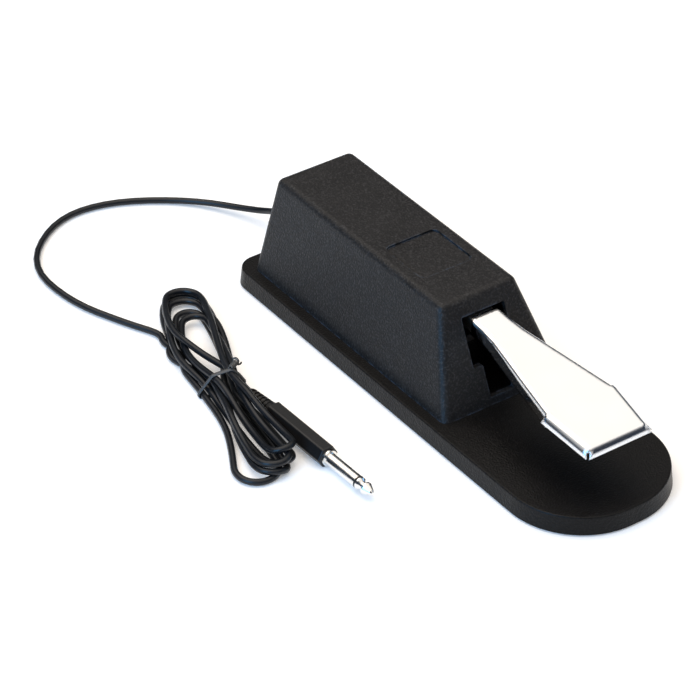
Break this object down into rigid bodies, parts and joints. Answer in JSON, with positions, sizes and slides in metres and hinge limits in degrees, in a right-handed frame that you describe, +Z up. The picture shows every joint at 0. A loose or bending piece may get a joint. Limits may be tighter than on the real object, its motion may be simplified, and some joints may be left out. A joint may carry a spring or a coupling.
{
  "type": "sustain pedal",
  "caption": "Piano-style sustain pedal: chrome sprung pedal in a tapered black housing on a weighted base, with a tied cord and a mono jack plug.",
  "frame": {"origin": "centre of the base's footprint, on the floor", "axes": "+Z up, the pedal's toe points to -Y, the cord leaves to +Y"},
  "size_m": [0.172, 0.364, 0.0596],
  "materials": {
    "textured_black_plastic": "fine moulded grain",
    "base_plastic": "fine moulded grain",
    "ballast_steel": "plain rolled",
    "sole_rubber": "matt, grooved",
    "screw_steel": "zinc plated",
    "pedal_chrome": "polished",
    "arm_steel": "zinc plated",
    "bush_nylon": "natural nylon",
    "pin_steel": "ground",
    "bracket_steel": "zinc plated",
    "spring_steel": "oiled wire",
    "inner_plastic": "plain moulded",
    "stop_felt": "pressed felt",
    "buffer_rubber": "matt",
    "switch_case": "plain moulded",
    "switch_button": "plain moulded",
    "terminal_brass": "tinned",
    "core_red": "plain",
    "core_white": "plain",
    "cord_pvc": "satin jacket",
    "tie_paper": "paper-covered wire",
    "plug_pvc": "satin moulded",
    "jack_nickel": "bright nickel",
    "ring_plastic": "plain"
  },
  "bodies": {
    "base": {"base_shell": "base_plastic", "ballast_plate": "ballast_steel", "rubber_sole": "sole_rubber", "ballast_screws": "screw_steel", "housing_shell": "textured_black_plastic", "housing_screws": "screw_steel", "pivot_pin": "pin_steel", "pivot_clips": "screw_steel", "pivot_bracket": "bracket_steel", "bracket_screws": "screw_steel", "spring_seat": "inner_plastic", "return_spring": "spring_steel", "upper_stop_felt": "stop_felt", "lower_stop_buffer": "buffer_rubber", "switch_bracket": "bracket_steel", "switch_bracket_screws": "screw_steel", "switch_body": "switch_case", "switch_screws": "screw_steel", "switch_terminals": "terminal_brass", "core_wire_common": "core_red", "core_wire_contact": "core_white", "cord_clamp": "inner_plastic", "clamp_screws": "screw_steel", "inner_cord": "cord_pvc", "cord_grommet": "plug_pvc", "cord": "cord_pvc", "cord_hank": "cord_pvc", "twist_tie": "tie_paper", "plug_relief": "plug_pvc", "plug_body": "plug_pvc", "plug_sleeve": "jack_nickel", "plug_ring": "ring_plastic", "plug_tip": "jack_nickel"},
    "pedal": {"pedal_plate": "pedal_chrome", "lever_arm": "arm_steel", "pivot_bushes": "bush_nylon"},
    "plunger": {"switch_plunger": "switch_button"}
  },
  "joints": [
    {"name": "pedal_press", "type": "hinge", "parent": "base", "child": "pedal", "pos_m": [0, 0.068, 0.0425], "axis": [1, 0, 0], "range_deg": [0, 6], "stiffness_Nm_per_rad": 5.3, "springref_deg": -10.89, "deforming": ["return_spring"]},
    {"name": "switch_travel", "type": "slide", "parent": "base", "child": "plunger", "axis": [0, 0, -1], "range_m": [0, 0.0019]}
  ],
  "couplings": [
    {"joint": "switch_travel", "follows": "pedal_press", "m_per_rad": 0.018}
  ]
}
